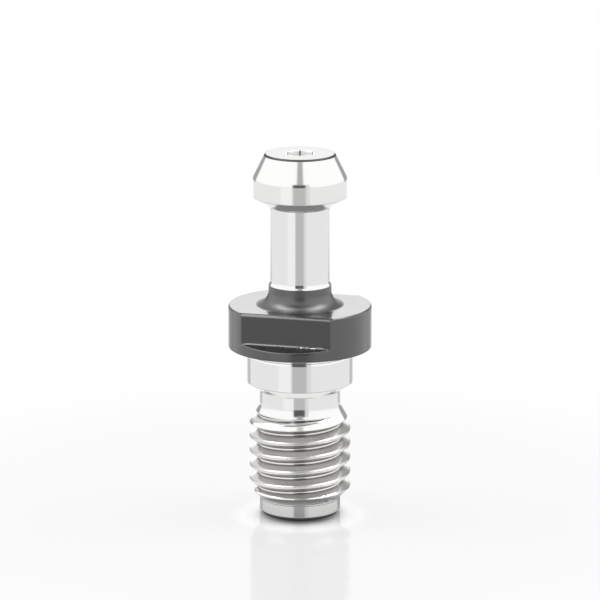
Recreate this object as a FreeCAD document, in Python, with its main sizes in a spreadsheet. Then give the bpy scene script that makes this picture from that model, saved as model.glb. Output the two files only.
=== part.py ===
import FreeCAD, Part
import math
import os
import Sketcher
from FreeCAD import Placement, Rotation, Vector

# A pull stud for a 30-size tool taper: one steel piece, turned, threaded and ground.
# The origin is the middle of the seat, the flange's underside, which rests on the end
# face of the taper shank. +Z points to the head, and the thread hangs below the seat.
# Radii and heights are measured from that origin, in millimetres.

SIZES = [
    # head, from the top face down
    ("head_above_seat", 23.0),
    ("top_face_diameter", 8.2),
    ("head_diameter", 11.0),
    ("top_face_edge_break", 0.12),
    ("head_cone_height", 2.8),
    ("head_band_height", 2.3),
    ("grip_angle_from_axis", 60.0),
    # neck, ground from the head down to the wheel's run-out
    ("neck_diameter", 7.0),
    ("neck_foot_above_flange", 2.45),
    ("neck_grinding_depth", 0.18),
    ("neck_run_out", 0.6),
    ("flange_fillet_radius", 1.8),
    ("flange_fillet_foot_diameter", 10.2),
    # flange with two wrench flats
    ("flange_diameter", 16.8),
    ("flange_thickness", 5.0),
    ("flange_rim_chamfer", 0.18),
    ("flats_across", 13.0),
    ("flat_depth", 3.3),
    ("flat_corner_radius", 0.4),
    ("flat_chamfer", 0.25),
    # pilot, with a grinding undercut in the corner of the seat
    ("pilot_diameter", 12.5),
    ("pilot_length", 4.15),
    ("undercut_depth", 0.25),
    ("undercut_width", 1.0),
    ("seat_bite_depth", 0.12),
    ("seat_bite_width", 0.5),
    # relief between the pilot and the thread
    ("relief_diameter", 9.55),
    ("relief_start", 5.15),
    ("relief_end", 7.1),
    # thread and tip
    ("thread_diameter", 12.0),
    ("thread_pitch", 1.75),
    ("thread_crest_allowance", 0.1),
    ("thread_lead_angle", 30.0),
    ("thread_end", 16.95),
    ("tip_below_seat", 20.0),
    ("tip_diameter", 9.5),
    ("tip_chamfer", 0.35),
    # hexagon socket in the top face
    ("socket_across", 3.0),
    ("socket_depth", 3.0),
    ("socket_drill_diameter", 2.9),
    ("socket_drill_point_angle", 118.0),
    ("socket_turn", 15.0),
]


def make_sheet(doc):
    """Puts every size in a cell of its own, named by its alias."""
    sheet = doc.addObject("Spreadsheet::Sheet", "Sizes")
    for row, (alias, value) in enumerate(SIZES, start=1):
        sheet.set(f"A{row}", alias.replace("_", " "))
        sheet.set(f"B{row}", str(value))
        sheet.setAlias(f"B{row}", alias)
    doc.recompute()
    return sheet


def origin_plane(body, role):
    """The body's own origin plane with this role."""
    return next(feature for feature in body.Origin.OriginFeatures if feature.Role == role)


def make_sketch(body, name, role):
    """An empty sketch on one of the body's origin planes."""
    sketch = body.newObject("Sketcher::SketchObject", name)
    sketch.AttachmentSupport = [(origin_plane(body, role), "")]
    sketch.MapMode = "FlatFace"
    return sketch


def bind(sketch, constraint, expression):
    """Adds a constraint and ties its value to an expression of the sheet."""
    sketch.setExpression(f"Constraints[{sketch.addConstraint(constraint)}]", expression)


def arc_between(start, end, radius):
    """The short arc from start to end, with its centre on the left of the way there."""
    chord = end - start
    left = Vector(-chord.y, chord.x, 0).normalize()
    reach = math.sqrt(radius * radius - chord.Length * chord.Length / 4)
    centre = (start + end) * 0.5 + left * reach
    angles = [math.atan2(p.y - centre.y, p.x - centre.x) for p in (start, end)]
    return Part.ArcOfCircle(Part.Circle(centre, Vector(0, 0, 1), radius), *angles)


def draw_outline(sketch, corners):
    """Draws a closed outline through its corners and ties each of them to the sheet.

    A corner is a pair of expressions, across and up. A third makes the side that starts
    there a hollow arc of that radius.
    """
    def value(expression):
        return float(sketch.evalExpression(expression))

    points = [Vector(value(across), value(up), 0) for across, up, *_ in corners]
    sides = []
    for number, (_, _, *radius) in enumerate(corners):
        start, end = points[number], points[(number + 1) % len(points)]
        if radius:
            sides.append(sketch.addGeometry(arc_between(start, end, value(radius[0]))))
        else:
            sides.append(sketch.addGeometry(Part.LineSegment(start, end)))

    for side, following in zip(sides, sides[1:] + sides[:1]):
        sketch.addConstraint(Sketcher.Constraint("Coincident", side, 2, following, 1))
    for side, (across, up, *radius), point in zip(sides, corners, points):
        for kind, expression, size, axis in (
            ("DistanceX", across, point.x, -2),
            ("DistanceY", up, point.y, -1),
        ):
            if expression == "0":
                sketch.addConstraint(Sketcher.Constraint("PointOnObject", side, 1, axis))
            else:
                bind(sketch, Sketcher.Constraint(kind, -1, 1, side, 1, size), expression)
        if radius:
            bind(sketch, Sketcher.Constraint("Radius", side, value(radius[0])), radius[0])


def make_turned_blank(doc, body):
    """Revolves the half section, from the socket's drilled hole round to the tip."""
    top = "Sizes.head_above_seat"
    top_face = "Sizes.top_face_diameter / 2"
    head = "Sizes.head_diameter / 2"
    neck = "Sizes.neck_diameter / 2"
    edge = "Sizes.top_face_edge_break"
    drill = "Sizes.socket_drill_diameter / 2"
    drill_bottom = f"{top} - Sizes.socket_depth"
    drill_point = f"{drill_bottom} - {drill} / tan(Sizes.socket_drill_point_angle / 2)"
    cone_slope = f"({head} - {top_face}) / Sizes.head_cone_height"
    band_top = f"{top} - Sizes.head_cone_height"
    band_bottom = f"{band_top} - Sizes.head_band_height"
    grip_slope = "1 / tan(Sizes.grip_angle_from_axis)"
    grip_bottom = f"{band_bottom} - ({head} - {neck}) * {grip_slope}"
    shank = f"{neck} + Sizes.neck_grinding_depth"
    neck_foot = "Sizes.flange_thickness + Sizes.neck_foot_above_flange"
    fillet = "Sizes.flange_fillet_radius"
    fillet_foot = "Sizes.flange_fillet_foot_diameter / 2"
    fillet_height = f"sqrt({fillet} ^ 2 - ({fillet} - ({fillet_foot} - ({shank}))) ^ 2)"
    flange = "Sizes.flange_diameter / 2"
    flange_top = "Sizes.flange_thickness"
    flange_edge = "Sizes.flange_rim_chamfer"
    pilot = "Sizes.pilot_diameter / 2"
    undercut = f"{pilot} - Sizes.undercut_depth"
    bite_edge = f"{pilot} + Sizes.seat_bite_width"
    relief = "Sizes.relief_diameter / 2"
    crest = "(Sizes.thread_diameter - Sizes.thread_crest_allowance) / 2"
    lead_end = f"-Sizes.relief_end - ({crest} - {relief}) / tan(Sizes.thread_lead_angle)"
    tip = "Sizes.tip_diameter / 2"
    tip_start = f"-Sizes.thread_end - ({crest} - {tip})"
    bottom = "-Sizes.tip_below_seat"

    sketch = make_sketch(body, "half_section", "XZ_Plane")
    draw_outline(
        sketch,
        [
            ("0", drill_point),
            (drill, drill_bottom),
            (drill, top),
            (f"{top_face} - {edge}", top),
            (f"{top_face} + {edge} * {cone_slope}", f"{top} - {edge}"),
            (head, band_top),
            (head, band_bottom),
            (neck, grip_bottom),
            (neck, f"{neck_foot} + Sizes.neck_run_out"),
            (shank, neck_foot),
            (shank, f"{flange_top} + {fillet_height}", fillet),
            (fillet_foot, flange_top),
            (f"{flange} - {flange_edge}", flange_top),
            (flange, f"{flange_top} - {flange_edge}"),
            (flange, "0"),
            (bite_edge, "0"),
            (undercut, "Sizes.seat_bite_depth"),
            (pilot, "-Sizes.undercut_width"),
            (pilot, "-Sizes.pilot_length"),
            (relief, "-Sizes.relief_start"),
            (relief, "-Sizes.relief_end"),
            (crest, lead_end),
            (crest, "-Sizes.thread_end"),
            (tip, tip_start),
            (tip, f"{bottom} + Sizes.tip_chamfer"),
            (f"{tip} - Sizes.tip_chamfer", bottom),
            ("0", bottom),
        ],
    )
    blank = body.newObject("PartDesign::Revolution", "turned_blank")
    blank.Profile = sketch
    blank.ReferenceAxis = (sketch, ["V_Axis"])
    blank.Angle = 360
    doc.recompute()


def cut_socket(doc, body):
    """Broaches the hexagon socket down from the top face, turned a little from the flats."""
    sketch = make_sketch(body, "socket_hexagon", "XY_Plane")
    sketch.AttachmentOffset = Placement(Vector(0, 0, 1), Rotation(Vector(0, 0, 1), 1))
    sketch.setExpression("AttachmentOffset.Base.z", "Sizes.head_above_seat")
    sketch.setExpression("AttachmentOffset.Rotation.Angle", "Sizes.socket_turn")
    corner = "Sizes.socket_across / sqrt(3)"
    half = "Sizes.socket_across / 2"
    draw_outline(
        sketch,
        [
            ("0", f"-{corner}"),
            (half, f"-{corner} / 2"),
            (half, f"{corner} / 2"),
            ("0", corner),
            (f"-{half}", f"{corner} / 2"),
            (f"-{half}", f"-{corner} / 2"),
        ],
    )
    pocket = body.newObject("PartDesign::Pocket", "socket")
    pocket.Profile = sketch
    pocket.setExpression("Length", "Sizes.socket_depth")
    doc.recompute()


def cut_wrench_flats(doc, body):
    """Mills the front flat with its ledge, then mirrors it to the back of the flange."""
    face = "-Sizes.flats_across / 2"
    top = "Sizes.flange_thickness"
    ledge = "Sizes.flange_thickness - Sizes.flat_depth"
    outside = "-Sizes.flange_diameter / 2 - Sizes.flat_depth"
    above = "Sizes.flange_thickness + Sizes.flat_chamfer"
    sketch = make_sketch(body, "flat_section", "YZ_Plane")
    draw_outline(
        sketch,
        [
            (outside, above),
            (outside, ledge),
            (f"{face} - Sizes.flat_corner_radius", ledge, "Sizes.flat_corner_radius"),
            (face, f"{ledge} + Sizes.flat_corner_radius"),
            (face, f"{top} - Sizes.flat_chamfer"),
            (f"{face} + 2 * Sizes.flat_chamfer", above),
        ],
    )
    flat = body.newObject("PartDesign::Pocket", "front_flat")
    flat.Profile = sketch
    flat.Midplane = True
    flat.setExpression("Length", "Sizes.flange_diameter")
    doc.recompute()

    mirrored = body.newObject("PartDesign::Mirrored", "both_flats")
    mirrored.Originals = [flat]
    mirrored.MirrorPlane = (origin_plane(body, "XZ_Plane"), [""])
    body.Tip = mirrored
    doc.recompute()


def cut_thread(doc, body):
    """Cuts the right-hand thread. Its groove starts below the tip and runs out in the relief."""
    depth = "0.6134 * Sizes.thread_pitch"
    nominal = "Sizes.thread_diameter / 2"
    root = f"{nominal} - {depth}"
    outside = f"{nominal} + Sizes.thread_crest_allowance"
    middle = "-Sizes.tip_below_seat"
    half_at_nominal = "7 / 16 * Sizes.thread_pitch"
    half_at_root = f"({half_at_nominal} - {depth} * tan(30))"
    half_outside = f"({half_at_nominal} + Sizes.thread_crest_allowance * tan(30))"
    sketch = make_sketch(body, "thread_groove", "XZ_Plane")
    draw_outline(
        sketch,
        [
            (root, f"{middle} - {half_at_root}"),
            (outside, f"{middle} - {half_outside}"),
            (outside, f"{middle} + {half_outside}"),
            (root, f"{middle} + {half_at_root}"),
        ],
    )
    thread = body.newObject("PartDesign::SubtractiveHelix", "thread")
    thread.Profile = sketch
    thread.ReferenceAxis = (sketch, ["V_Axis"])
    thread.Mode = "pitch-height-angle"
    thread.setExpression("Pitch", "Sizes.thread_pitch")
    thread.setExpression(
        "Height", "Sizes.tip_below_seat - Sizes.relief_end + Sizes.thread_pitch / 2"
    )
    thread.LeftHanded = False
    thread.Reversed = False
    doc.recompute()


def check(doc, body):
    """Stops if a feature failed or the finished solid isn't sound."""
    for item in doc.Objects:
        if "Invalid" in item.State or "Error" in item.State:
            raise RuntimeError(f"{item.Label} failed: {item.State}")
    shape = body.Shape
    if shape.isNull() or not shape.isValid() or len(shape.Solids) != 1:
        raise RuntimeError(f"{body.Label} is not one sound solid")


def check_cut(body, before, name):
    """Stops if the last cut took nothing away, and gives the volume that is left."""
    after = body.Shape.Volume
    if after > before - 0.01:
        raise RuntimeError(f"{name} cut nothing")
    return after


def main():
    doc = FreeCAD.newDocument("pull_stud")
    make_sheet(doc)
    body = doc.addObject("PartDesign::Body", "pull_stud")
    body.Label = "pull_stud"
    make_turned_blank(doc, body)
    volume = body.Shape.Volume
    for cut in (cut_socket, cut_wrench_flats, cut_thread):
        cut(doc, body)
        volume = check_cut(body, volume, cut.__name__)
    check(doc, body)
    os.makedirs("parts", exist_ok=True)
    body.Shape.exportStep("parts/pull_stud.step")
    print(f"{body.Label}: volume {volume:.1f} mm3, {len(body.Shape.Faces)} faces")


main()
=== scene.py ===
import math
import random

import bpy
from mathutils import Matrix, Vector


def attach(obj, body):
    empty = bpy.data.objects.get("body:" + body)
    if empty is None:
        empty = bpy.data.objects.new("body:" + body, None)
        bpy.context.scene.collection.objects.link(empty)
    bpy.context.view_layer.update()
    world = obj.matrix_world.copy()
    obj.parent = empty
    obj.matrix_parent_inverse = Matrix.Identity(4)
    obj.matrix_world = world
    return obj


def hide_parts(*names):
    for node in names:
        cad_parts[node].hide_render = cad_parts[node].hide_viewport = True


# A pull stud, turned and ground from one piece of steel, with a black flange.
# Lengths in this file are millimetres and angles are degrees. They become metres and
# radians where the mesh, the materials and the camera are made. The origin is the middle
# of the seat, the flange's underside, and +Z points to the head.

MM = 0.001

# Head, with a broken edge where its cone would meet the top face
HEAD_TOP = 23.0
CONE_TOP_RADIUS = 4.1
TOP_EDGE_RADIUS = 4.03
TOP_EDGE_DROP = 0.22
TOP_EDGE_GUARD = 0.03
TOP_EDGE_ROUNDING = 0.02
FACE_RING_RADIUS = 2.4
HEAD_RADIUS = 5.5
BAND_TOP = 20.2
BAND_TOP_ROUNDING = 0.9
BAND_BOTTOM = 17.9
BAND_BOTTOM_ROUNDING = 0.08

# The band's turned finish ends a little above its lower edge, where the grip's starts
BAND_RING = BAND_BOTTOM + 0.5
TURNED_END = BAND_BOTTOM + 0.3
GRIP_START = BAND_BOTTOM + 0.25

# Neck, ground from the gripping cone down to the corner that the wheel left at the shank
GRIP_BOTTOM = 16.745
GRIP_FILLET = 0.2
NECK_RADIUS = 3.5
NECK_FOOT = 7.438
WHEEL_CORNER = 1.2
SHANK_RADIUS = 3.68
SHANK_TOP = 7.4
FILLET_RADIUS = 1.8
FILLET_FOOT = 5.1

# Flange, with broken edges, two milled flats and the ledge that each flat leaves
FLANGE_RADIUS = 8.4
FLANGE_TOP = 5.0
RIM_EDGE_WIDTH = 0.14
RIM_EDGE_DROP = 0.18
SEAT_EDGE = 0.12
FLAT_DISTANCE = 6.5
FLAT_EDGE_WIDTH = 0.45
FLAT_EDGE_DROP = 0.33
FLAT_END_ROUNDING = 0.12
LEDGE_HEIGHT = 1.38
LEDGE_SLOPE = 0.16
LEDGE_CORNER = 0.4
LEDGE_EDGE = 0.07
RIM_RING = LEDGE_HEIGHT - 0.5
SEAT_RING_RADIUS = FLANGE_RADIUS - 0.2

# The cutter's burr along the front flat's foot, between these places on X
BURR_START = 1.3
BURR_END = 3.7
BURR_HEIGHT = 0.07

# Pilot, with the undercut that the grinding wheel needs and that bites into the seat
BITE_RADIUS = 6.75
BITE_TOP = 0.12
BITE_ROUNDING = 0.1
UNDERCUT_RADIUS = 6.0
UNDERCUT_END = -1.0
UNDERCUT_ROUNDING = 0.5
PILOT_RADIUS = 6.25
PILOT_END = -4.15

# Painted light lines on the pilot, from one height to another above the undercut's end, and
# above the pilot's lower edge
UNDERCUT_LINE = (0.3, 0.24)
PILOT_LINE = (0.01, -0.06)

# Relief, and the cone that leads from it to the thread
RELIEF_RADIUS = 4.775
RELIEF_START = -5.15
RELIEF_ROUNDING = 0.15
RELIEF_END = -7.1
LEAD_ROUNDING = 2.0
LEAD_SLOPE = math.tan(math.radians(30))
THREAD_TOP = -7.75

# Thread M12 x 1.75, right-hand. A groove's middle is at +X this far above the bottom
THREAD_LIFT = 0.35
PITCH = 1.75
TURNS = range(-1, 9)
NOMINAL_RADIUS = 6.0
CREST_RADIUS = 5.95
CREST_BREAK_DROP = 0.12
CREST_BREAK_WIDTH = 0.1
SHOULDER_ROUNDING = 0.04
THREAD_DEPTH = 0.6134 * PITCH
FLANK = math.tan(math.radians(30))
RUN_OUT_ROUNDING = 0.06

# The thread's rows end this near the rings above and below it, and a flank is divided into
# parts no longer than this
ROW_MARGIN = 0.02
LONGEST_PART = 0.3

# A thin bright line lies in the groove's middle, and the root's painted shade reaches this far up
ROOT_LINE = 0.06
PAINTED_ROOT_SHADE = 0.5

# Nicks in the skin that lies this near the crests, and the ragged end of the last turn
NICK_REACH = 0.15
NICK_SHARE = 0.04
NICK_DEPTHS = (0.02, 0.06)
RAGGED_SHARE = 0.5
RAGGED_DEPTHS = (0.03, 0.14)
RAGGED_HEIGHTS = (-17.7, -16.5)
RAGGED_ANGLES = (297, 332)

# The burr that the last groove left on the tip's chamfer: a line that rises with the angle
TORN_START = 300
TORN_SWEEP = 40
TORN_FOOT = 0.1
TORN_RISE = 0.3
TORN_HALF_WIDTH = 0.11
TORN_DEPTHS = (-0.1, 0.07)

# Tip, with a fine painted light line from one height to another above its start
TIP_RADIUS = 4.75
TIP_START = -18.15
TIP_GUARD = 0.04
TIP_LINE = (-0.1, -0.17)
TIP_CHAMFER = 0.35
TIP_ROUNDING = 0.03
TIP_RING_RADIUS = TIP_RADIUS - TIP_CHAMFER - 0.3
BOTTOM = -20.0

# Hexagon socket, drilled and then broached. Its corners are painted dark, as shade, from this
# angle on
SOCKET_ACROSS = 3.0
SOCKET_DEPTH = 3.0
SOCKET_DRILL_RADIUS = 1.45
SOCKET_POINT_DEPTH = 0.871
SOCKET_TURN = 15.0
SOCKET_EDGE_WIDENS = 0.1
SOCKET_EDGE_DROP = 0.04
SOCKET_CORNER = 27.0

# Points of the mesh round the axis. A quarter of the flange's outline splits in three
AROUND = 240
ON_RIM = 32
ON_CORNER = 4
ON_FLAT = 24

# Steps of the arcs along the section, those of the ledge's hollow that carry its painted
# light line, and the degrees that a step of a rounding turns
WHEEL_STEPS = 8
FILLET_STEPS = 20
HOLLOW_STEPS = 8
HOLLOW_LINE = (4, 5)
SEAT_STEPS = 4
ROUNDING_STEP = 12

# The rounding of an edge that looks sharp. Any rounding takes at most these shares of its
# sides: at the section's ends, and elsewhere
EDGE_ROUNDING = 0.05
END_SHARE = 0.9
MIDDLE_SHARE = 0.45

# A guard is a ring beside a corner, which keeps the smooth shading from running over it.
# One nearer than NEAR isn't made, and heights that near count as the same. RING_DROP keeps
# the ledge's rings apart, and a length under NOTHING counts as none.
GUARD = 0.05
NEAR = 0.005
RING_DROP = 0.004
NOTHING = 1e-6

# The fine lines' noise changes this often over a pitch of theirs, and round the axis it
# changes this often over a millimetre
CHANGES_IN_PITCH = 20
FADING = 0.05

# The floor. Its ramps of grey reach this far from the foot
FLOOR_RADIUS = 300.0
RAMP_REACH = 30.0

# The foot's painted soft shadow on the floor, with its middle this far towards the camera's
# side, and the floor's painted grey by the distance from that middle
SHADE_SHIFT = 2.0
SHADE = ((2.4, 0.02), (3.2, 0.14), (4.0, 0.32), (4.8, 0.54), (5.6, 0.7), (7.0, 0.86))

# What the steel mirrors of the floor: the floor's glowing grey, dark near the foot as painted
# shade, and how far the floor is itself a mirror there, by the distance from the foot's middle
MIRRORED_PAINTED_SHADE = ((4.4, 0.02), (5.4, 0.4), (11, 0.5), (14, 1.0))
NEAR_TIP = ((5.4, 0), (6.2, 0.45), (11, 0.45), (12.5, 0))

# The photograph's viewpoint
CAMERA_TURN = 15.0
CAMERA_DISTANCE = 450.0
CAMERA_HEIGHT = 112.5
CAMERA_AIM_HEIGHT = 5.49
CAMERA_LENS = 237.3
CAMERA_NEAREST = 10.0


class Skin:
    """One closed surface, made of rings of points that follow each other down the stud."""

    def __init__(self):
        self.points = []
        self.faces = []
        self.finishes = []

    def add_point(self, x, y, z):
        self.points.append((x * MM, y * MM, z * MM))
        return len(self.points) - 1

    def add_ring(self, places):
        return [self.add_point(*place) for place in places]

    def add_face(self, corners, finish):
        """A face of the corners that differ, where there are three or more."""
        kept = []
        for corner in corners:
            if corner not in kept:
                kept.append(corner)
        if len(kept) > 2:
            self.faces.append(kept)
            self.finishes.append(finish)

    def join(self, upper, lower, finish):
        """Faces between two rings. finish is one finish, or a function of the face's number."""
        for i in range(AROUND):
            j = (i + 1) % AROUND
            chosen = finish(i) if callable(finish) else finish
            self.add_face((upper[i], lower[i], lower[j], upper[j]), chosen)

    def close(self, ring, centre, finish, upwards):
        """A fan from a ring to a point on the axis."""
        middle = self.add_point(0, 0, centre)
        for i in range(AROUND):
            j = (i + 1) % AROUND
            corners = (middle, ring[i], ring[j]) if upwards else (middle, ring[j], ring[i])
            self.add_face(corners, finish)

    def make(self, name, materials):
        """The mesh object. materials is a dictionary from finish to material."""
        mesh = bpy.data.meshes.new(name)
        mesh.from_pydata(self.points, [], self.faces)
        for material in materials.values():
            mesh.materials.append(material)
        number = {finish: i for i, finish in enumerate(materials)}
        mesh.polygons.foreach_set("material_index", [number[f] for f in self.finishes])
        mesh.polygons.foreach_set("use_smooth", [True] * len(self.faces))
        mesh.validate()
        mesh.update()
        piece = bpy.data.objects.new(name, mesh)
        bpy.context.collection.objects.link(piece)
        return piece


def circle(radius, height):
    """The places of a plain round ring."""
    turns = (2 * math.pi * i / AROUND for i in range(AROUND))
    return [(radius * math.cos(t), radius * math.sin(t), height) for t in turns]


def arc(start, end, radius, steps):
    """Points of the short arc from start to end, with its centre on the left of the way."""
    start, end = Vector(start), Vector(end)
    chord = end - start
    left = Vector((-chord.y, chord.x)).normalized()
    centre = (start + end) / 2 + left * math.sqrt(radius**2 - chord.length_squared / 4)
    first = math.atan2(start.y - centre.y, start.x - centre.x)
    last = math.atan2(end.y - centre.y, end.x - centre.x)
    sweep = (last - first + math.pi) % (2 * math.pi) - math.pi
    angles = (first + sweep * k / steps for k in range(steps + 1))
    return [(centre.x + radius * math.cos(a), centre.y + radius * math.sin(a)) for a in angles]


def rounded_corner(before, corner, after, radius, limit):
    """Points of the arc that rounds a corner, with a guard point on each side of it.

    The arc starts no further than limit from the corner.
    """
    before, corner, after = Vector(before), Vector(corner), Vector(after)
    back = (before - corner).normalized()
    ahead = (after - corner).normalized()
    half = back.angle(ahead) / 2
    reach = radius / math.tan(half)
    if reach > limit:
        radius *= limit / reach
        reach = limit
    centre = corner + (back + ahead).normalized() * (radius / math.sin(half))
    first = corner + back * reach - centre
    sweep = math.pi - 2 * half
    turn = 1 if first.x * ahead.y - first.y * ahead.x > 0 else -1
    steps = max(2, round(math.degrees(sweep) / ROUNDING_STEP))
    guard = min(GUARD, limit - reach)
    points = []
    if guard > NEAR:
        points.append(corner + back * (reach + guard))
    for k in range(steps + 1):
        angle = turn * sweep * k / steps
        cosine, sine = math.cos(angle), math.sin(angle)
        spoke = Vector((first.x * cosine - first.y * sine, first.x * sine + first.y * cosine))
        points.append(centre + spoke)
    if guard > NEAR:
        points.append(corner + ahead * (reach + guard))
    return [(point.x, point.y) for point in points]


def rounded(corners):
    """A section's points. A corner is (radius, height) or has a rounding after them."""
    points = [corners[0][:2]]
    last = len(corners) - 1
    for k in range(1, last):
        before, corner, after = (corners[k + step][:2] for step in (-1, 0, 1))
        if len(corners[k]) > 2:
            room_before = math.dist(before, corner) * (END_SHARE if k == 1 else MIDDLE_SHARE)
            room_after = math.dist(corner, after) * (END_SHARE if k == last - 1 else MIDDLE_SHARE)
            limit = min(room_before, room_after)
            points += rounded_corner(before, corner, after, corners[k][2], limit)
        else:
            points.append(corner)
    points.append(corners[-1][:2])
    return points


def revolve(skin, upper, section, finish, lines=()):
    """Adds the round rings of a section below the ring upper, and returns the last of them.

    Each of lines is a top height, a bottom height and the finish that a fine line has there.
    """
    for radius, height in section:
        lower = skin.add_ring(circle(radius, height))
        chosen = finish
        for top, bottom, line_finish in lines:
            if bottom - NEAR < height < top - NEAR:
                chosen = line_finish
        skin.join(upper, lower, chosen)
        upper = lower
    return upper


def from_wall(degrees):
    """The angle from the middle of the socket's nearest wall, between -30 and 30."""
    return (degrees - SOCKET_TURN + 30) % 60 - 30


def hexagon(across, height):
    """The places of a ring that follows the socket's hexagon."""
    places = []
    for i in range(AROUND):
        degrees = 360 * i / AROUND
        radius = across / 2 / math.cos(math.radians(from_wall(degrees)))
        angle = math.radians(degrees)
        places.append((radius * math.cos(angle), radius * math.sin(angle), height))
    return places


def socket_finish(i):
    """Bright walls, painted light, and at their corners dark lines of painted shade."""
    degrees = 360 * (i + 0.5) / AROUND
    return "worn" if abs(from_wall(degrees)) > SOCKET_CORNER else "socket"


def add_socket(skin):
    """The drilled point, the hexagon's floor and its walls, up to the top face."""
    floor = HEAD_TOP - SOCKET_DEPTH
    edge_start = HEAD_TOP - SOCKET_EDGE_DROP
    upper = skin.add_ring(circle(SOCKET_DRILL_RADIUS, floor))
    skin.close(upper, floor - SOCKET_POINT_DEPTH, "turned", upwards=True)
    for widening, height in (
        (0, floor),
        (0, floor + GUARD),
        (0, edge_start - GUARD),
        (0, edge_start),
        (0.4 * SOCKET_EDGE_WIDENS, HEAD_TOP - 0.25 * SOCKET_EDGE_DROP),
        (SOCKET_EDGE_WIDENS, HEAD_TOP),
        (SOCKET_EDGE_WIDENS + 2 * GUARD, HEAD_TOP),
    ):
        lower = skin.add_ring(hexagon(SOCKET_ACROSS + widening, height))
        skin.join(upper, lower, "turned" if height == floor else socket_finish)
        upper = lower
    return upper


def add_head(skin, upper):
    """The top face, the cone with its broken edge, and the band."""
    face_end = (TOP_EDGE_RADIUS - TOP_EDGE_GUARD, HEAD_TOP)
    face = [(FACE_RING_RADIUS, HEAD_TOP), (TOP_EDGE_RADIUS - 2 * GUARD, HEAD_TOP), face_end]
    upper = revolve(skin, upper, face, "face")
    slope = (HEAD_RADIUS - CONE_TOP_RADIUS) / (HEAD_TOP - BAND_TOP)
    edge_foot = HEAD_TOP - TOP_EDGE_DROP
    section = rounded(
        [
            face_end,
            (TOP_EDGE_RADIUS, HEAD_TOP, TOP_EDGE_ROUNDING),
            (CONE_TOP_RADIUS + slope * TOP_EDGE_DROP, edge_foot, EDGE_ROUNDING),
            (HEAD_RADIUS, BAND_TOP, BAND_TOP_ROUNDING),
            (HEAD_RADIUS, BAND_RING),
            (HEAD_RADIUS, TURNED_END),
        ]
    )
    # The broken edge takes the dark edge finish, a painted line of shade
    edge = (HEAD_TOP + 2 * NEAR, edge_foot, "edge")
    return revolve(skin, upper, section[1:], "turned", [edge])


def add_neck(skin, upper):
    """The gripping cone under the head and the ground neck, down to the wheel's corner."""
    middle = ((HEAD_RADIUS + NECK_RADIUS) / 2, (BAND_BOTTOM + GRIP_BOTTOM) / 2)
    start = (HEAD_RADIUS, GRIP_START)
    edge = rounded([start, (HEAD_RADIUS, BAND_BOTTOM, BAND_BOTTOM_ROUNDING), middle])
    upper = revolve(skin, upper, edge, "grip")
    drop = math.sqrt(WHEEL_CORNER**2 - (WHEEL_CORNER - SHANK_RADIUS + NECK_RADIUS) ** 2)
    wheel_start = NECK_FOOT + drop
    neck = (NECK_RADIUS, wheel_start + GUARD)
    fillet = rounded([middle, (NECK_RADIUS, GRIP_BOTTOM, GRIP_FILLET), neck])
    half = len(fillet) // 2
    upper = revolve(skin, upper, fillet[1:half], "grip")
    upper = revolve(skin, upper, fillet[half:], "ground")
    wheel = arc((NECK_RADIUS, wheel_start), (SHANK_RADIUS, NECK_FOOT), WHEEL_CORNER, WHEEL_STEPS)
    return revolve(skin, upper, wheel, "ground")


def outline(flat, rim, rounding):
    """The flange's outline with its two flats, as AROUND points from +X round to +X."""
    centre = Vector((math.sqrt((rim - rounding) ** 2 - (flat - rounding) ** 2), flat - rounding))
    rim_angle = math.atan2(centre.y, centre.x)
    quarter = [
        (rim * math.cos(rim_angle * k / ON_RIM), rim * math.sin(rim_angle * k / ON_RIM))
        for k in range(ON_RIM)
    ]
    for k in range(ON_CORNER):
        angle = rim_angle + (math.pi / 2 - rim_angle) * k / ON_CORNER
        x = centre.x + rounding * math.cos(angle)
        quarter.append((x, centre.y + rounding * math.sin(angle)))
    quarter += [(centre.x * (1 - k / ON_FLAT), flat) for k in range(ON_FLAT)]
    mirrored = [(-x, y) for x, y in quarter[1:] + [(0.0, flat)]]
    half = quarter + mirrored[::-1]
    return half + [(-x, -y) for x, y in half]


def flats_share(i):
    """1 where point i of an outline lies on a flat, 0 on the rim, and between them a blend."""
    place = min(i % (AROUND // 2), AROUND // 2 - i % (AROUND // 2))
    return min(1.0, max(0.0, (place - ON_RIM) / ON_CORNER))


def on_flats(flat_finish, rim_finish="oxide"):
    """A finish for the faces between two outlines: one on the flats, another on the rim."""
    return lambda i: flat_finish if flats_share(i) + flats_share(i + 1) > 1.5 else rim_finish


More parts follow.
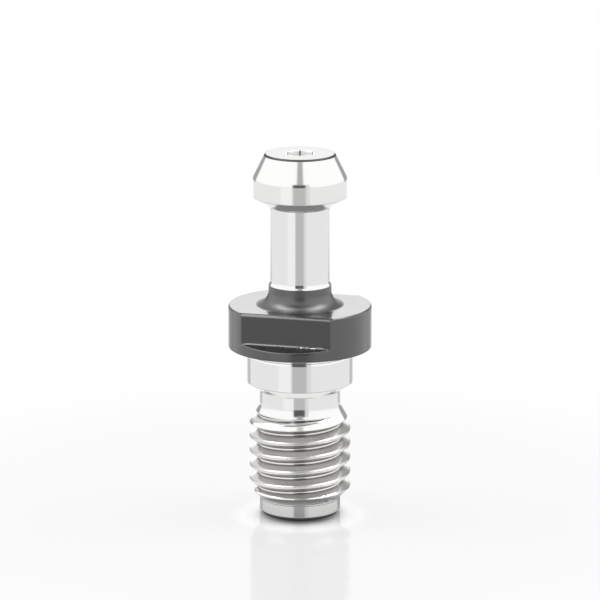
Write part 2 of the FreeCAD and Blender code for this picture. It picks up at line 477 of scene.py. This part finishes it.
def add_flange_top(skin, upper):
    """The black shank, its fillet, the flange's top face and the face's broken edge."""
    fillet_start = FLANGE_TOP + math.sqrt(
        FILLET_RADIUS**2 - (FILLET_RADIUS - FILLET_FOOT + SHANK_RADIUS) ** 2
    )
    foot = (FILLET_FOOT, FLANGE_TOP)
    fillet = arc((SHANK_RADIUS, fillet_start), foot, FILLET_RADIUS, FILLET_STEPS)
    shank = [(SHANK_RADIUS, SHANK_TOP)] + fillet[:-1]
    # Two rings keep the crease at the fillet's foot narrow
    shank += [(FILLET_FOOT - GUARD, FLANGE_TOP + 0.018), (FILLET_FOOT + 0.06, FLANGE_TOP)]
    upper = revolve(skin, upper, shank, "shank_oxide")
    upper = revolve(skin, upper, [(FILLET_FOOT + 0.2, FLANGE_TOP)], "oxide")
    # Each ring's inset from the flats and from the rim, its drop there, and its finish
    rings = (
        (FLAT_EDGE_WIDTH + 0.08, RIM_EDGE_WIDTH + 0.08, 0, 0, "oxide"),
        (FLAT_EDGE_WIDTH + 0.02, RIM_EDGE_WIDTH + 0.02, 0, 0, "oxide"),
        (FLAT_EDGE_WIDTH - 0.02, RIM_EDGE_WIDTH - 0.01, 0.01, 0.015, on_flats("flat_oxide")),
        (0.02, 0.01, FLAT_EDGE_DROP - 0.01, RIM_EDGE_DROP - 0.015, on_flats("flat_oxide")),
        (0, 0, FLAT_EDGE_DROP + 0.02, RIM_EDGE_DROP + 0.02, on_flats("flat_oxide")),
        (0, 0, FLAT_EDGE_DROP + 0.08, RIM_EDGE_DROP + 0.08, on_flats("flat_oxide")),
    )
    for flat_inset, rim_inset, flat_drop, rim_drop, finish in rings:
        places = outline(FLAT_DISTANCE - flat_inset, FLANGE_RADIUS - rim_inset, FLAT_END_ROUNDING)
        ring = []
        for i, (x, y) in enumerate(places):
            share = flats_share(i)
            ring.append((x, y, FLANGE_TOP - flat_drop * share - rim_drop * (1 - share)))
        lower = skin.add_ring(ring)
        skin.join(upper, lower, finish)
        upper = lower
    return upper


def on_rim(x, y):
    """The place on the rim beyond a place on the wall: across the ledge, or straight out."""
    if abs(abs(y) - FLAT_DISTANCE) < NOTHING:
        return x, math.copysign(math.sqrt(FLANGE_RADIUS**2 - x * x), y)
    scale = FLANGE_RADIUS / math.hypot(x, y)
    return x * scale, y * scale


def hollow_place(width, step):
    """How far out and how high a ring of the hollow at a flat's foot is.

    Where the ledge's width shrinks, at the flat's ends, the hollow shrinks with it.
    """
    turned = math.pi / 2 * step / HOLLOW_STEPS
    corner = min(LEDGE_CORNER, 0.6 * width)
    above = corner * (1 - math.sin(turned)) + RING_DROP * (HOLLOW_STEPS - step)
    return corner * (1 - math.cos(turned)), LEDGE_HEIGHT + above


def ledge_place(width, number, inwards, down):
    """The same for a ring at the ledge's outer edge.

    inwards and down say where the ring is on the broken edge, in shares of its size.
    """
    edge = min(LEDGE_EDGE, 0.25 * width)
    out = width - edge * inwards
    drop = LEDGE_SLOPE * out + edge * down + RING_DROP * (number + 1)
    return out, LEDGE_HEIGHT - drop


def add_flange_wall(skin, upper):
    """The rim and the flats, each with a hollow corner at its foot and a ledge under it."""
    wall = outline(FLAT_DISTANCE, FLANGE_RADIUS, FLAT_END_ROUNDING)
    rim = [on_rim(x, y) for x, y in wall]
    burr = [
        random.uniform(-BURR_HEIGHT, BURR_HEIGHT)
        if y < -FLAT_DISTANCE + 0.01 and BURR_START < x < BURR_END
        else 0
        for x, y in wall
    ]

    def add_ring(upper, place, numbers, finish, raggedness=0):
        """A ring between the wall and the rim. place gives its reach outwards and its height."""
        ring = []
        for (x, y), (far_x, far_y), lift in zip(wall, rim, burr):
            width = math.hypot(far_x - x, far_y - y)
            out, height = place(width, *numbers)
            share = out / width if width > NOTHING else 0
            height += lift * raggedness
            ring.append((x + (far_x - x) * share, y + (far_y - y) * share, height))
        lower = skin.add_ring(ring)
        skin.join(upper, lower, finish)
        return lower

    def foot_finish(i):
        """The painted light line along a flat's foot, torn where the cutter left a burr."""
        if burr[i]:
            return random.choice(("worn", "face", "flat_oxide"))
        return on_flats("worn")(i)

    for step in range(HOLLOW_STEPS + 1):
        finish = foot_finish if step in HOLLOW_LINE else on_flats("flat_oxide")
        upper = add_ring(upper, hollow_place, (step,), finish, step / HOLLOW_STEPS)
    for number, (inwards, down) in enumerate(((1.3, 0), (1, 0), (0.3, 0.3), (0, 1))):
        upper = add_ring(upper, ledge_place, (number, inwards, down), "oxide")

    rings = [(0, RIM_RING), (0, SEAT_EDGE + GUARD), (0, SEAT_EDGE)]
    for k in range(1, SEAT_STEPS + 1):
        angle = math.pi / 2 * k / SEAT_STEPS
        rings.append((SEAT_EDGE * (1 - math.cos(angle)), SEAT_EDGE * (1 - math.sin(angle))))
    for inset, height in rings:
        scale = 1 - inset / FLANGE_RADIUS
        lower = skin.add_ring([(x * scale, y * scale, height) for x, y in rim])
        skin.join(upper, lower, "oxide")
        upper = lower
    return upper


def lead_radius(height):
    """The radius at a height on the cone that leads from the relief to the thread."""
    return RELIEF_RADIUS + (RELIEF_END - height) * LEAD_SLOPE


def add_pilot(skin, upper):
    """The seat face, the grinding undercut, the pilot and the relief."""
    slope = (PILOT_RADIUS - UNDERCUT_RADIUS) / (BITE_TOP - UNDERCUT_END)
    above, below = UNDERCUT_LINE
    section = rounded(
        [
            (SEAT_RING_RADIUS, 0),
            (BITE_RADIUS, 0, EDGE_ROUNDING),
            (UNDERCUT_RADIUS, BITE_TOP, BITE_ROUNDING),
            (PILOT_RADIUS - slope * above, UNDERCUT_END + above),
            (PILOT_RADIUS - slope * below, UNDERCUT_END + below),
            (PILOT_RADIUS, UNDERCUT_END, UNDERCUT_ROUNDING),
            (PILOT_RADIUS, PILOT_END, EDGE_ROUNDING),
            (RELIEF_RADIUS, RELIEF_START, RELIEF_ROUNDING),
            (RELIEF_RADIUS, RELIEF_END, LEAD_ROUNDING),
            (lead_radius(THREAD_TOP), THREAD_TOP),
        ]
    )
    # Painted light lines on the pilot
    lines = [
        (middle + top, middle + bottom, "worn")
        for middle, (top, bottom) in ((UNDERCUT_END, UNDERCUT_LINE), (PILOT_END, PILOT_LINE))
    ]
    return revolve(skin, upper, section, "ground", lines)


def thread_profile():
    """One pitch of the thread, upwards from the middle of a groove to the next.

    Each entry is a height, a radius and the finish of the skin above it. At the nominal
    radius a groove is 7/8 of the pitch wide, and its root is rounded between its flanks.
    """
    root = NOMINAL_RADIUS - THREAD_DEPTH
    root_half = 7 / 16 * PITCH - THREAD_DEPTH * FLANK
    root_round = root_half * math.sqrt(3)
    shoulder = CREST_RADIUS - CREST_BREAK_DROP
    shoulder_half = root_half + (shoulder - root) * FLANK
    crest_half = shoulder_half + CREST_BREAK_WIDTH
    bottom = [
        (root_round * math.sin(t), root + root_round * (1 - math.cos(t)))
        for t in (math.radians(15 * k) for k in range(5))
    ]
    root_end = bottom[-1][0]
    crest = rounded(
        [
            bottom[-1],
            (shoulder_half, shoulder, SHOULDER_ROUNDING),
            (crest_half, CREST_RADIUS, EDGE_ROUNDING),
            (PITCH - crest_half, CREST_RADIUS, EDGE_ROUNDING),
            (PITCH - shoulder_half, shoulder, SHOULDER_ROUNDING),
            (PITCH - root_end, bottom[-1][1]),
        ]
    )
    points = bottom[:-1] + crest + [(PITCH - h, r) for h, r in bottom[-2::-1]]
    profile = []
    for (height, radius), (next_height, next_radius) in zip(points, points[1:]):
        middle = (height + next_height) / 2
        if min(middle, PITCH - middle) < ROOT_LINE:
            finish = "ground"
        elif (radius + next_radius) / 2 > shoulder - 0.015:
            finish = "crest"
        # The darker groove steel near the root is painted shade
        elif middle < PAINTED_ROOT_SHADE or middle > PITCH - root_end:
            finish = "groove"
        else:
            finish = "thread"
        length = math.dist((height, radius), (next_height, next_radius))
        parts = max(1, math.ceil(length / LONGEST_PART))
        for k in range(parts):
            share = k / parts
            part_height = height + (next_height - height) * share
            part_radius = radius + (next_radius - radius) * share
            profile.append((part_height, part_radius, finish))
    return profile


def soft_minimum(a, b, width):
    """The smaller of two radii, rounded over where they meet."""
    near = max(width - abs(a - b), 0) / width
    return min(a, b) - near * near * width / 4


def within(value, limits):
    return limits[0] < value < limits[1]


def nicked(radius, height, degrees, nick):
    """A crest's radius where a small nick, or the ragged end of the last turn, lowers it."""
    if radius < CREST_RADIUS - NICK_REACH:
        return radius
    ragged = within(height, RAGGED_HEIGHTS) and within(degrees, RAGGED_ANGLES)
    if ragged and random.random() < RAGGED_SHARE:
        return radius - random.uniform(*RAGGED_DEPTHS)
    return min(radius, CREST_RADIUS - nick)


def on_torn_line(height, degrees):
    """Whether this place is on the burr that the last groove left on the tip's chamfer."""
    along = (degrees - TORN_START) / TORN_SWEEP
    middle = TIP_START + TORN_FOOT + TORN_RISE * along
    return 0 < along < 1 and abs(height - middle) < TORN_HALF_WIDTH


def thread_column(skin, i, rows, top_point, bottom_point):
    """The thread's points at one angle, each with the finish of the skin above it."""
    angle = 2 * math.pi * i / AROUND
    degrees = math.degrees(angle)
    nicks = [random.uniform(*NICK_DEPTHS) if random.random() < NICK_SHARE else 0 for _ in TURNS]
    column = []
    for turn, height, groove, finish in rows:
        z = BOTTOM + THREAD_LIFT + turn * PITCH + height + PITCH * i / AROUND
        limit = min(lead_radius(z), TIP_RADIUS + (z - TIP_START))
        groove = nicked(groove, z, degrees, nicks[turn])
        torn = on_torn_line(z, degrees)
        if z > THREAD_TOP - ROW_MARGIN:
            point = top_point
        elif z < TIP_START + TIP_GUARD + ROW_MARGIN:
            point = bottom_point
        else:
            radius = soft_minimum(groove, limit, RUN_OUT_ROUNDING)
            if torn:
                radius += random.uniform(*TORN_DEPTHS)
            point = skin.add_point(radius * math.cos(angle), radius * math.sin(angle), z)
        if torn:
            finish = random.choice(("edge", "turned", "crest"))
        elif groove > limit:
            finish = "turned"
        column.append((point, finish))
    return column


def add_thread(skin, top_ring):
    """The thread between the relief and the tip. Its rows follow the helix, not the rings."""
    profile = thread_profile()
    rows = [(turn, *entry) for turn in TURNS for entry in profile]
    bottom_ring = skin.add_ring(circle(TIP_RADIUS + TIP_GUARD, TIP_START + TIP_GUARD))
    columns = [
        thread_column(skin, i, rows, top_ring[i], bottom_ring[i]) for i in range(AROUND)
    ]
    # One time round, each row has climbed to where the same row of the next turn begins
    above_all = (top_ring[0], "turned")
    climbed = columns[0][len(profile):] + [above_all] * len(profile)
    for column, following in zip(columns, columns[1:] + [climbed]):
        for k in range(len(rows) - 1):
            corners = (column[k + 1][0], column[k][0], following[k][0], following[k + 1][0])
            skin.add_face(corners, column[k][1])
    return bottom_ring


def add_tip(skin, upper):
    """The plain end below the thread."""
    line_top, line_bottom = (TIP_START + offset for offset in TIP_LINE)
    section = rounded(
        [
            (TIP_RADIUS + TIP_GUARD, TIP_START + TIP_GUARD),
            (TIP_RADIUS, TIP_START, TIP_ROUNDING),
            (TIP_RADIUS, line_top),
            (TIP_RADIUS, line_bottom),
            (TIP_RADIUS, BOTTOM + TIP_CHAMFER, TIP_ROUNDING),
            (TIP_RADIUS - TIP_CHAMFER, BOTTOM, TIP_ROUNDING),
            (TIP_RING_RADIUS, BOTTOM),
        ]
    )
    # A painted light line on the tip
    line = (line_top, line_bottom - 2 * NEAR, "worn")
    upper = revolve(skin, upper, section[1:], "turned", [line])
    skin.close(upper, BOTTOM, "turned", upwards=False)


def make_stud(materials):
    """The whole stud as one closed mesh."""
    skin = Skin()
    ring = add_socket(skin)
    for add_part in (add_head, add_neck, add_flange_top, add_flange_wall, add_pilot, add_thread):
        ring = add_part(skin, ring)
    add_tip(skin, ring)
    return skin.make("stud_surface", materials)


class Graph:
    """The nodes of a material or of the world. Places and distances in it are in metres."""

    def __init__(self, owner):
        owner.use_nodes = True
        self.nodes = owner.node_tree.nodes
        self.links = owner.node_tree.links

    def add(self, kind, **settings):
        node = self.nodes.new("ShaderNode" + kind)
        for name, value in settings.items():
            setattr(node, name, value)
        return node

    def wire(self, value, socket):
        """Links a socket to another node's output, or sets it to a number."""
        if isinstance(value, bpy.types.NodeSocket):
            self.links.new(value, socket)
        else:
            socket.default_value = value

    def place(self):
        """The place on the object."""
        return self.add("TexCoord").outputs["Object"]

    def across_axis(self, place):
        """A place's part across the axis."""
        node = self.add("VectorMath", operation="MULTIPLY")
        self.wire(place, node.inputs[0])
        self.wire((1, 1, 0), node.inputs[1])
        return node.outputs[0]

    def length(self, vector):
        node = self.add("VectorMath", operation="LENGTH")
        self.wire(vector, node.inputs[0])
        return node.outputs["Value"]

    def calculate(self, operation, *values):
        node = self.add("Math", operation=operation)
        for value, socket in zip(values, node.inputs):
            self.wire(value, socket)
        return node.outputs[0]

    def times(self, *values):
        product = values[0]
        for value in values[1:]:
            product = self.calculate("MULTIPLY", product, value)
        return product

    def between(self, value, start, end, low=0.0, high=1.0, way="SMOOTHSTEP"):
        """low up to start, high from end on, and a blend between them."""
        node = self.add("MapRange", interpolation_type=way)
        names = ("Value", "From Min", "From Max", "To Min", "To Max")
        for name, number in zip(names, (value, start, end, low, high)):
            self.wire(number, node.inputs[name])
        return node.outputs["Result"]

    def ramp(self, value, stops):
        """A colour that follows a value from 0 to 1. Each stop is a place and a colour."""
        node = self.add("ValToRGB")
        elements = node.color_ramp.elements
        for _ in stops[2:]:
            elements.new(0.5)
        for element, (position, colour) in zip(elements, stops):
            element.position = position
            element.color = (*colour, 1)
        self.wire(value, node.inputs["Fac"])
        return node.outputs["Color"]

    def noise(self, vector, w, scale, detail):
        node = self.add("TexNoise", noise_dimensions="4D")
        names = ("Vector", "W", "Scale", "Detail")
        for name, value in zip(names, (vector, w, scale, detail)):
            self.wire(value, node.inputs[name])
        return node.outputs["Fac"]

    def mix(self, share, first, second):
        """The shader first where share is 0, and second where it is 1."""
        node = self.add("MixShader")
        for value, socket in zip((share, first, second), node.inputs):
            self.wire(value, socket)
        return node.outputs["Shader"]


def new_material(name):
    material = bpy.data.materials.new(name)
    graph = Graph(material)
    return material, graph, graph.nodes["Principled BSDF"]


def grain_noise(graph, size, detail, seed):
    """An even noise over the object, with grains of about this size."""
    return graph.noise(graph.place(), seed, 1 / (size * MM), detail)


def ring_noise(graph, pitch, seed):
    """A noise of fine lines round the axis, which fade in and out on their way round."""
    place = graph.place()
    parts = graph.add("SeparateXYZ")
    graph.wire(place, parts.inputs[0])
    across = graph.across_axis(place)
    # Height and radius both count, so the lines show on walls and on faces alike
    along = graph.calculate("MULTIPLY", parts.outputs["Z"], 0.8)
    along = graph.calculate("ADD", along, graph.length(across))
    along = graph.calculate("MULTIPLY_ADD", along, CHANGES_IN_PITCH / pitch / MM, seed)
    return graph.noise(across, along, FADING / MM, 2.0)


def spread(graph, noise, low, high):
    """Maps a noise's middle range onto low to high."""
    return graph.between(noise, 0.3, 0.7, low, high, "LINEAR")


def add_bump(graph, shader, height):
    """Bump from a height in millimetres."""
    bump = graph.add("Bump")
    for name, value in (("Strength", 1.0), ("Distance", MM), ("Height", height)):
        graph.wire(value, bump.inputs[name])
    graph.wire(bump.outputs["Normal"], shader.inputs["Normal"])


def steel(name, colour, roughness, line_pitch, line_height, grain_height=0.0):
    """Bright steel with fine lines round the axis, left by the grinding wheel or the tool."""
    material, graph, shader = new_material(name)
    shader.inputs["Metallic"].default_value = 1.0
    shader.inputs["Base Color"].default_value = (*colour, 1)
    lines = ring_noise(graph, line_pitch, 2.0)
    height = graph.calculate("MULTIPLY", lines, line_height)
    if grain_height:
        grain = grain_noise(graph, 0.25, 2.0, 9.0)
        height = graph.calculate("MULTIPLY_ADD", grain, grain_height, height)
    uneven = spread(graph, lines, roughness * 0.8, roughness * 1.25)
    graph.wire(uneven, shader.inputs["Roughness"])
    add_bump(graph, shader, height)
    return material


def thread_steel():
    """The steel of the thread's flanks, with painted shade towards the root and painted light
    towards the crest.
    """
    dark, bright = (0.58, 0.565, 0.55), (1.0, 0.985, 0.97)
    material = steel("thread_steel", bright, 0.2, 0.11, 0.0004, 0.0016)
    graph = Graph(material)
    radius = graph.length(graph.across_axis(graph.place()))
    share = graph.between(radius, 4.95 * MM, 5.3 * MM, way="LINEAR")
    colour = graph.ramp(share, ((0, dark), (1, bright)))
    graph.wire(colour, graph.nodes["Principled BSDF"].inputs["Base Color"])
    return material


def black_oxide(name, level, roughness, ior, coat):
    """Blackened steel: dark and a little blue, with a satin gloss that grows at its edges."""
    material, graph, shader = new_material(name)
    for socket, value in (
        ("Metallic", 0.0),
        ("IOR", ior),
        ("Coat Weight", coat),
        ("Coat IOR", 1.6),
        ("Coat Roughness", 0.1),
    ):
        shader.inputs[socket].default_value = value
    mottle = grain_noise(graph, 0.9, 5.0, 11.0)
    dark, light = ((tone, tone, tone * 1.03) for tone in (level * 0.75, level * 1.3))
    colour = graph.ramp(mottle, ((0.3, dark), (0.7, light)))
    graph.wire(colour, shader.inputs["Base Color"])
    uneven = spread(graph, mottle, roughness * 0.85, roughness * 1.15)
    graph.wire(uneven, shader.inputs["Roughness"])
    grain = grain_noise(graph, 0.11, 2.0, 5.0)
    add_bump(graph, shader, graph.calculate("MULTIPLY", grain, 0.0008))
    return material


def make_materials():
    """Every finish of the stud, by the name that its faces use.

    A steel's numbers are its colour, its roughness, the pitch and the height of its lines,
    and the height of its grain. An oxide's are its level, its roughness, its index of
    refraction and its coat.
    """
    return {
        "ground": steel("ground_steel", (0.80, 0.80, 0.795), 0.10, 0.06, 0.0004),
        "turned": steel("turned_steel", (0.82, 0.82, 0.81), 0.12, 0.09, 0.0005),
        "face": steel("face_steel", (0.56, 0.56, 0.555), 0.09, 0.12, 0.0003),
        # The socket's walls scatter light by their roughness, and their near-white steel is
        # painted light
        "socket": steel("socket_painted_light_steel", (0.97, 0.97, 0.96), 0.6, 0.3, 0.0001),
        # Near-black steel that paints a dark line of shade on the head's broken edge; the torn
        # burr takes it at random too
        "edge": steel("painted_shade_edge_steel", (0.09, 0.088, 0.085), 0.5, 0.11, 0.0004),
        "grip": steel("grip_steel", (0.80, 0.80, 0.795), 0.12, 0.09, 0.0005),
        "thread": thread_steel(),
        # Darker steel for the groove near the root: painted shade
        "groove": steel("groove_painted_shade_steel", (0.34, 0.33, 0.32), 0.25, 0.11, 0.0004, 0.0016),
        "crest": steel("crest_steel", (0.68, 0.675, 0.67), 0.24, 0.11, 0.0004),
        "oxide": black_oxide("black_oxide", 0.016, 0.24, 1.8, 0.5),
        "flat_oxide": black_oxide("milled_oxide", 0.012, 0.3, 1.6, 0.35),
        "shank_oxide": black_oxide("shank_oxide", 0.02, 0.34, 2.15, 0.0),
        # A finish for painted lines: light ones on the pilot, the tip and the flats' feet, and
        # dark ones of shade in the socket's corners
        "worn": steel("painted_line_steel", (0.26, 0.26, 0.26), 0.4, 0.15, 0.0006, 0.0016),
    }


def floor_material():
    """A pale floor with the foot's painted soft shadow and a faint mirror image of the stud.

    The camera and the steel each see it glow in their own way, the steel with painted shade
    near the foot. Further out, and from below, it is clear.
    """
    material, graph, shader = new_material("floor_white")
    shader.inputs["Roughness"].default_value = 0.12
    shader.inputs["IOR"].default_value = 1.15
    place = graph.place()
    path = graph.add("LightPath")
    camera, reflection = path.outputs["Is Camera Ray"], path.outputs["Is Glossy Ray"]

    def distance_from(x, y):
        """The distance on the floor from a point, which is in millimetres from the axis."""
        node = graph.add("VectorMath", operation="DISTANCE")
        graph.wire(place, node.inputs[0])
        graph.wire((x * MM, y * MM, 0), node.inputs[1])
        return node.outputs["Value"]

    def greys(distance, stops):
        """A grey that follows a distance. Each stop is millimetres and grey."""
        reach = graph.calculate("DIVIDE", distance, RAMP_REACH * MM)
        return graph.ramp(reach, [(far / RAMP_REACH, (grey,) * 3) for far, grey in stops])

    def beyond(distance, near, far, low=0.0, high=1.0):
        """low nearer than near, high further than far, both in millimetres."""
        return graph.between(distance, near * MM, far * MM, low, high)

    def glossy(roughness):
        node = graph.add("BsdfGlossy")
        node.inputs["Roughness"].default_value = roughness
        return node.outputs["BSDF"]

    turn = math.radians(CAMERA_TURN)
    foot = distance_from(0, 0)
    # The painted shadow: the floor's grey darkens towards a middle set towards the camera's side
    shade = distance_from(SHADE_SHIFT * math.sin(turn), -SHADE_SHIFT * math.cos(turn))
    graph.wire(greys(shade, SHADE), shader.inputs["Base Color"])

    # The steel sees the glow of the greys, painted shade near the foot, and the camera one that
    # turns white
    glow = graph.add("Emission")
    reflected = graph.times(reflection, greys(foot, MIRRORED_PAINTED_SHADE), 1.25)
    direct = graph.times(camera, beyond(foot, 30, 120, 0.8, 0.99))
    graph.wire(graph.calculate("ADD", reflected, direct), glow.inputs["Strength"])
    # Near the painted shadow the camera sees less of the glow, so that the shadow shows
    seen = graph.times(camera, beyond(shade, 4, 9), 0.85)
    glowing = graph.calculate("ADD", seen, reflection)
    surface = graph.mix(glowing, shader.outputs["BSDF"], glow.outputs[0])

    # A mirror for the steel near the tip, and a faint one for the camera
    near_tip = graph.times(reflection, greys(foot, NEAR_TIP))
    surface = graph.mix(near_tip, surface, glossy(0.08))
    mirror = graph.times(camera, beyond(shade, 4, 8), 0.052)
    surface = graph.mix(mirror, surface, glossy(0.1))

    # Clear for all but the camera further out, nearer for the steel, and for all far away
    clear = graph.calculate("SUBTRACT", beyond(foot, 26, 60), camera)
    for other in (
        graph.times(reflection, beyond(foot, 18, 25)),
        beyond(foot, 120, 290),
        graph.add("NewGeometry").outputs["Backfacing"],
    ):
        clear = graph.calculate("MAXIMUM", clear, other)
    surface = graph.mix(clear, surface, graph.add("BsdfTransparent").outputs["BSDF"])
    graph.wire(surface, graph.nodes["Material Output"].inputs["Surface"])
    return material


def make_floor():
    """A round floor under the tip."""
    bpy.ops.mesh.primitive_circle_add(
        vertices=96, radius=FLOOR_RADIUS * MM, fill_type="NGON", location=(0, 0, BOTTOM * MM)
    )
    floor = bpy.context.object
    floor.name = "floor"
    floor.data.materials.append(floor_material())
    return floor


def make_world():
    """White for the camera. What lights and mirrors in the stud is a softly uneven studio."""
    world = bpy.data.worlds.new("studio")
    bpy.context.scene.world = world
    graph = Graph(world)
    graph.nodes.clear()

    def degrees(operation, *values):
        return graph.calculate("DEGREES", graph.calculate(operation, *values))

    def window(value, start, end, soft):
        """1 between start and end, with soft edges, and 0 elsewhere."""
        rise = graph.between(value, start - soft, start + soft)
        fall = graph.between(value, end - soft, end + soft)
        return graph.calculate("SUBTRACT", rise, fall)

    def blend(value, target, amount):
        """value moved towards target by amount."""
        gap = graph.calculate("SUBTRACT", target, value)
        return graph.calculate("MULTIPLY_ADD", gap, amount, value)

    turned = graph.add("VectorRotate", rotation_type="Z_AXIS")
    graph.wire(graph.add("TexCoord").outputs["Generated"], turned.inputs["Vector"])
    graph.wire(math.radians(-CAMERA_TURN), turned.inputs["Angle"])
    parts = graph.add("SeparateXYZ")
    graph.wire(turned.outputs["Vector"], parts.inputs[0])
    x, y, z = parts.outputs
    towards = graph.calculate("MULTIPLY", y, -1.0)
    side = degrees("ARCTAN2", x, towards)
    wide = graph.calculate("ABSOLUTE", side)
    height = degrees("ARCSINE", z)

    def patch(value, strength, sides, soft_sides, heights, soft_heights, both=False):
        """A soft-edged field of the studio, by degrees from the camera's side and above level.

        With both, it lies on the left and on the right alike.
        """
        across = window(wide if both else side, *sides, soft_sides)
        up = window(height, *heights, soft_heights)
        return blend(value, strength, graph.times(across, up))

    # Brighter above level, and dark overhead
    light = blend(0.97, 1.2, graph.between(height, -8, 6))
    light = blend(light, 0.2, graph.between(height, 48, 56))
    # On the camera's side: an upright that the middle of each round stretch mirrors
    light = patch(light, 0.12, (-18, 14), 1.2, (-100, 29), 5)
    light = patch(light, 0.6, (-18, 14), 1.2, (-100, -7), 2)
    light = patch(light, 0.45, (-9, 9), 1.5, (24, 46), 5)
    light = patch(light, 0.84, (14, 24), 1.2, (-100, 29), 5)
    light = patch(light, 1.07, (-48, -18), 3, (-100, -7), 2)
    # Below: what the underside of the head mirrors
    light = patch(light, 0.3, (-155, 155), 5, (-62, -27), 2)
    # Behind the stud: what its outer edges mirror
    light = patch(light, 0.4, (136, 166), 3, (-9.5, 9), 0.8, both=True)
    light = patch(light, 0.62, (136, 158), 3, (-60, -12.8), 0.4, both=True)
    light = patch(light, 0.3, (136, 173), 2, (12, 46), 2)
    light = patch(light, 0.66, (-173, -136), 2, (8, 46), 2)
    light = patch(light, 2.4, (173.5, 200), 1, (13.4, 45), 0.8, both=True)
    # A bright strip overhead, across the camera's view
    forward = degrees("ARCTAN2", towards, z)
    strip = graph.times(window(forward, -21, 8, 3), graph.between(height, 38, 48))
    light = blend(light, 5.0, strip)

    studio = graph.add("Background")
    white = graph.add("Background")
    for background in (studio, white):
        background.inputs["Color"].default_value = (1, 1, 1, 1)
    graph.wire(light, studio.inputs["Strength"])
    camera = graph.add("LightPath").outputs["Is Camera Ray"]
    surface = graph.mix(camera, studio.outputs[0], white.outputs[0])
    graph.wire(surface, graph.add("OutputWorld").inputs["Surface"])


def make_camera():
    camera = bpy.data.objects.new("camera", bpy.data.cameras.new("camera"))
    bpy.context.collection.objects.link(camera)
    turn = math.radians(CAMERA_TURN)
    eye = Vector((math.sin(turn), -math.cos(turn), 0)) * CAMERA_DISTANCE
    eye.z = CAMERA_HEIGHT
    aim = Vector((0, 0, CAMERA_AIM_HEIGHT))
    camera.location = eye * MM
    camera.rotation_euler = (aim - eye).to_track_quat("-Z", "Y").to_euler()
    camera.data.lens = CAMERA_LENS
    camera.data.clip_start = CAMERA_NEAREST * MM
    bpy.context.scene.camera = camera


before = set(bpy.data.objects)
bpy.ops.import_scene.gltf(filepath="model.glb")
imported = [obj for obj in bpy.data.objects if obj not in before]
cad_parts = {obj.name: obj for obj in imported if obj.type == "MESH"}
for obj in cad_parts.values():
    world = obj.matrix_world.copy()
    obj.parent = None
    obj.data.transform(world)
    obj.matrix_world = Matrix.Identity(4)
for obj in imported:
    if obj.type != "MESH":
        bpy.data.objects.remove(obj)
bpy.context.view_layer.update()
random.seed(7)

stud = make_stud(make_materials())
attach(stud, "root")
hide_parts("pull_stud")
make_floor()
make_world()
make_camera()
bpy.context.scene.view_settings.view_transform = "Standard"
